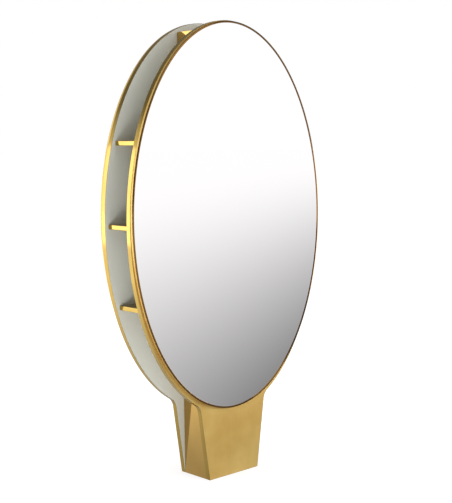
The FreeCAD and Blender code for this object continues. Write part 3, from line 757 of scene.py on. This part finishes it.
# Lamps: name, place, point aimed at, width, height, multiple of the softboxes' radiance, and
# whether metal shows them.
SOFTBOXES = (
    ("back_softbox", (-4.4, 3.6, 1.5), (0, 0, 1.0), 3.2, 3.0, 1, True),
    ("right_softbox", (3.3, -1.4, 0.7), (0, -0.1, 0.4), 1.7, 1.3, 4, True),
    ("front_softbox", (0.5, -3.0, 4.2), (0, 0, 0.9), 3.2, 3.2, 1, True),
    # This one lifts the pale lining. Metal would show it as a bright bar.
    ("left_softbox", (-1.5, -0.75, 0.25), (-0.2, 0, 0.45), 1.0, 0.4, 4, False),
)


def make_world(stage):
    """Bright walls at the front right and the back left, dimmer ones between them, and a dim
    ceiling. The camera sees plain white."""
    world = bpy.data.worlds.new("studio")
    world.use_nodes = True
    tree = world.node_tree
    tree.nodes.clear()
    direction = add_node(tree, "ShaderNodeTexCoord", {}, {})
    parts = add_node(tree, "ShaderNodeSeparateXYZ", {}, {"Vector": direction.outputs["Generated"]})
    ahead = add_node(tree, "ShaderNodeVectorMath",
                     {"operation": "DOT_PRODUCT", 1: FRONT_WALL_AHEAD},
                     {0: direction.outputs["Generated"]})
    front_wall = add_node(tree, "ShaderNodeMapRange",
                          {"interpolation_type": "SMOOTHSTEP", "From Min": LEFT_TO_FRONT_WALL[0],
                           "From Max": LEFT_TO_FRONT_WALL[1], "To Min": stage.left_wall,
                           "To Max": stage.front_wall},
                          {"Value": ahead.outputs["Value"]})
    front = add_node(tree, "ShaderNodeMapRange",
                     {"interpolation_type": "SMOOTHSTEP", "From Min": WALL_TO_FRONT_CEILING[0],
                      "From Max": WALL_TO_FRONT_CEILING[1], "To Max": stage.front_ceiling},
                     {"Value": parts.outputs["Z"], "To Min": front_wall.outputs["Result"]})
    back_wall = add_node(tree, "ShaderNodeMapRange",
                         {"interpolation_type": "SMOOTHSTEP", "From Min": BACK_TO_RIGHT_WALL[0],
                          "From Max": BACK_TO_RIGHT_WALL[1], "To Min": stage.back_wall,
                          "To Max": stage.right_wall},
                         {"Value": parts.outputs["X"]})
    back = add_node(tree, "ShaderNodeMapRange",
                    {"interpolation_type": "SMOOTHSTEP", "From Min": WALL_TO_BACK_CEILING[0],
                     "From Max": WALL_TO_BACK_CEILING[1], "To Max": stage.back_ceiling},
                    {"Value": parts.outputs["Z"], "To Min": back_wall.outputs["Result"]})
    turn = add_node(tree, "ShaderNodeMapRange",
                    {"interpolation_type": "SMOOTHSTEP", "From Min": FRONT_TO_BACK[0],
                     "From Max": FRONT_TO_BACK[1]},
                    {"Value": parts.outputs["Y"]})
    strength = add_node(tree, "ShaderNodeMix", {"data_type": "FLOAT"},
                        {0: turn.outputs["Result"], 2: front.outputs["Result"],
                         3: back.outputs["Result"]})
    studio = add_node(tree, "ShaderNodeBackground", {"Color": WHITE},
                      {"Strength": strength.outputs[0]})
    white = add_node(tree, "ShaderNodeBackground", {"Color": WHITE, "Strength": 1.0}, {})
    rays = add_node(tree, "ShaderNodeLightPath", {}, {})
    seen = add_node(tree, "ShaderNodeMath", {"operation": "MAXIMUM"},
                    {0: rays.outputs["Is Camera Ray"], 1: rays.outputs["Is Transmission Ray"]})
    mix = add_node(tree, "ShaderNodeMixShader", {},
                   {0: seen.outputs[0], 1: studio.outputs[0], 2: white.outputs[0]})
    add_node(tree, "ShaderNodeOutputWorld", {}, {"Surface": mix.outputs[0]})
    bpy.context.scene.world = world


def make_floor(stage):
    """A pale floor. The camera sees it white with a faint shadow, and metal sees it shaded by
    the station."""
    bpy.ops.mesh.primitive_plane_add(size=FLOOR_SIZE)
    floor = bpy.context.active_object
    floor.name = floor.data.name = "floor"
    material, tree, place = new_material("studio_floor")
    # The station's shade.
    side = add_node(tree, "ShaderNodeVectorMath", {"operation": "DOT_PRODUCT", 1: ACROSS_SHADE},
                    {0: place})
    left = add_node(tree, "ShaderNodeVectorMath", {"operation": "DOT_PRODUCT", 1: BACK_LEFT},
                    {0: place})
    left_only = add_node(tree, "ShaderNodeMapRange",
                         {"From Min": 0.0, "From Max": FARTHEST_LEFT, "To Max": FARTHEST_LEFT},
                         {"Value": left.outputs["Value"]})
    both = add_node(tree, "ShaderNodeCombineXYZ", {},
                    {"X": side.outputs["Value"], "Y": left_only.outputs["Result"]})
    distance = add_node(tree, "ShaderNodeVectorMath", {"operation": "LENGTH"},
                        {0: both.outputs[0]})
    decay = add_node(tree, "ShaderNodeMath", {"operation": "POWER", 0: math.exp(-1)},
                     {1: distance.outputs["Value"]})
    shade = add_node(tree, "ShaderNodeMapRange",
                     {"To Min": stage.floor_far, "To Max": stage.floor_near},
                     {"Value": decay.outputs[0]})
    # The floor brightens towards the back left.
    left_lit = add_node(tree, "ShaderNodeMapRange",
                        {"From Max": LEFT_LIT, "To Max": stage.floor_left},
                        {"Value": left_only.outputs["Result"]})
    unpooled = add_node(tree, "ShaderNodeMath", {"operation": "ADD"},
                        {0: shade.outputs[0], 1: left_lit.outputs["Result"]})
    # A small pool of light lies round the foot.
    reach = add_node(tree, "ShaderNodeVectorMath", {"operation": "LENGTH"}, {0: place})
    fall = add_node(tree, "ShaderNodeMath", {"operation": "POWER", 0: POOL_FADE},
                    {1: reach.outputs["Value"]})
    lit = add_node(tree, "ShaderNodeMath", {"operation": "MULTIPLY_ADD", 1: stage.floor_pool},
                   {0: fall.outputs[0], 2: unpooled.outputs[0]})
    shaded = add_node(tree, "ShaderNodeEmission", {"Color": WHITE}, {"Strength": lit.outputs[0]})
    # To the camera the floor glows white, and less round the foot, where a faint shadow shows.
    white = add_node(tree, "ShaderNodeMath",
                     {"operation": "MULTIPLY_ADD", 1: -FOOT_DIMMING, 2: 1.0},
                     {0: fall.outputs[0]})
    glow = add_node(tree, "ShaderNodeEmission", {"Color": WHITE}, {"Strength": white.outputs[0]})
    faint = add_node(tree, "ShaderNodeBsdfDiffuse", {"Color": (FLOOR_REFLECTANCE,) * 3 + (1,)}, {})
    seen = add_node(tree, "ShaderNodeAddShader", {}, {0: glow.outputs[0], 1: faint.outputs[0]})
    rays = add_node(tree, "ShaderNodeLightPath", {}, {})
    mix = add_node(tree, "ShaderNodeMixShader", {},
                   {0: rays.outputs["Is Glossy Ray"], 1: seen.outputs[0], 2: shaded.outputs[0]})
    add_node(tree, "ShaderNodeOutputMaterial", {}, {"Surface": mix.outputs[0]})
    floor.data.materials.append(material)


def add_softbox(name, place, aim, width, height, brightness, in_metal):
    """A rectangular lamp of the given radiance, aimed at a point, that metal shows or doesn't."""
    place, aim = Vector(place), Vector(aim)
    bpy.ops.object.light_add(type="AREA", location=place,
                             rotation=(aim - place).to_track_quat("-Z", "Y").to_euler())
    lamp = bpy.context.active_object
    lamp.name = lamp.data.name = name
    lamp.data.shape = "RECTANGLE"
    lamp.data.size, lamp.data.size_y = width, height
    lamp.data.energy = brightness * math.pi * width * height
    lamp.visible_glossy = in_metal


def add_camera(stage):
    """The camera at the main view."""
    bpy.ops.object.camera_add()
    camera = bpy.context.active_object
    camera.name = camera.data.name = "camera"
    camera.data.lens = stage.lens
    camera.data.sensor_width = SENSOR_WIDTH
    camera.matrix_world = (Matrix.Translation(stage.camera_place)
                           @ Matrix.Rotation(-stage.camera_yaw, 4, "Z")
                           @ Matrix.Rotation(math.pi / 2 - stage.camera_pitch, 4, "X")
                           @ Matrix.Rotation(stage.camera_roll, 4, "Z"))
    bpy.context.scene.camera = camera


class STATION_OT_stage(bpy.types.Operator):
    """Set up the floor, the studio light and the camera"""

    bl_idname = "station.stage"
    bl_label = "Stage"

    def execute(self, context):
        stage = context.scene.station_stage
        bpy.ops.object.select_all(action="DESELECT")
        make_world(stage)
        make_floor(stage)
        for name, place, aim, width, height, multiple, in_metal in SOFTBOXES:
            add_softbox(name, place, aim, width, height, multiple * stage.softbox, in_metal)
        add_camera(stage)
        context.scene.view_settings.view_transform = "Standard"
        return {"FINISHED"}


# ---------------------------------------------------------------- the add-on

OPERATORS = (STATION_OT_edge_strips, STATION_OT_mirror_rims, STATION_OT_shelf_sheets,
             STATION_OT_spine_sheets, STATION_OT_finishes, STATION_OT_stage)
GROUPS = (("station_sizes", StationSizes), ("station_colours", StationColours),
          ("station_stage", StageSettings))


class STATION_PT_sidebar(bpy.types.Panel):
    """Lists the station's settings and its pieces"""

    bl_idname = "STATION_PT_sidebar"
    bl_label = "Salon station"
    bl_space_type = "VIEW_3D"
    bl_region_type = "UI"
    bl_category = "Station"

    def draw(self, context):
        for group, kind in GROUPS:
            box = self.layout.box()
            settings = getattr(context.scene, group)
            for name in kind.__annotations__:
                box.prop(settings, name)
        for operator in OPERATORS:
            self.layout.operator(operator.bl_idname)


def register():
    """Add the settings, the operators and the sidebar's panel."""
    for group, kind in GROUPS:
        bpy.utils.register_class(kind)
        setattr(bpy.types.Scene, group, PointerProperty(type=kind))
    for operator in OPERATORS:
        bpy.utils.register_class(operator)
    bpy.utils.register_class(STATION_PT_sidebar)


def unregister():
    """Take away what register adds, in the opposite order."""
    bpy.utils.unregister_class(STATION_PT_sidebar)
    for operator in reversed(OPERATORS):
        bpy.utils.unregister_class(operator)
    for group, kind in reversed(GROUPS):
        delattr(bpy.types.Scene, group)
        bpy.utils.unregister_class(kind)


def main():
    """Build the scene in order."""
    register()
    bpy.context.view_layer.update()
    bpy.ops.station.edge_strips()
    bpy.ops.station.mirror_rims()
    bpy.ops.station.shelf_sheets()
    bpy.ops.station.spine_sheets()
    bpy.ops.station.finishes()
    bpy.ops.station.stage()


if __name__ == "__main__":
    main()
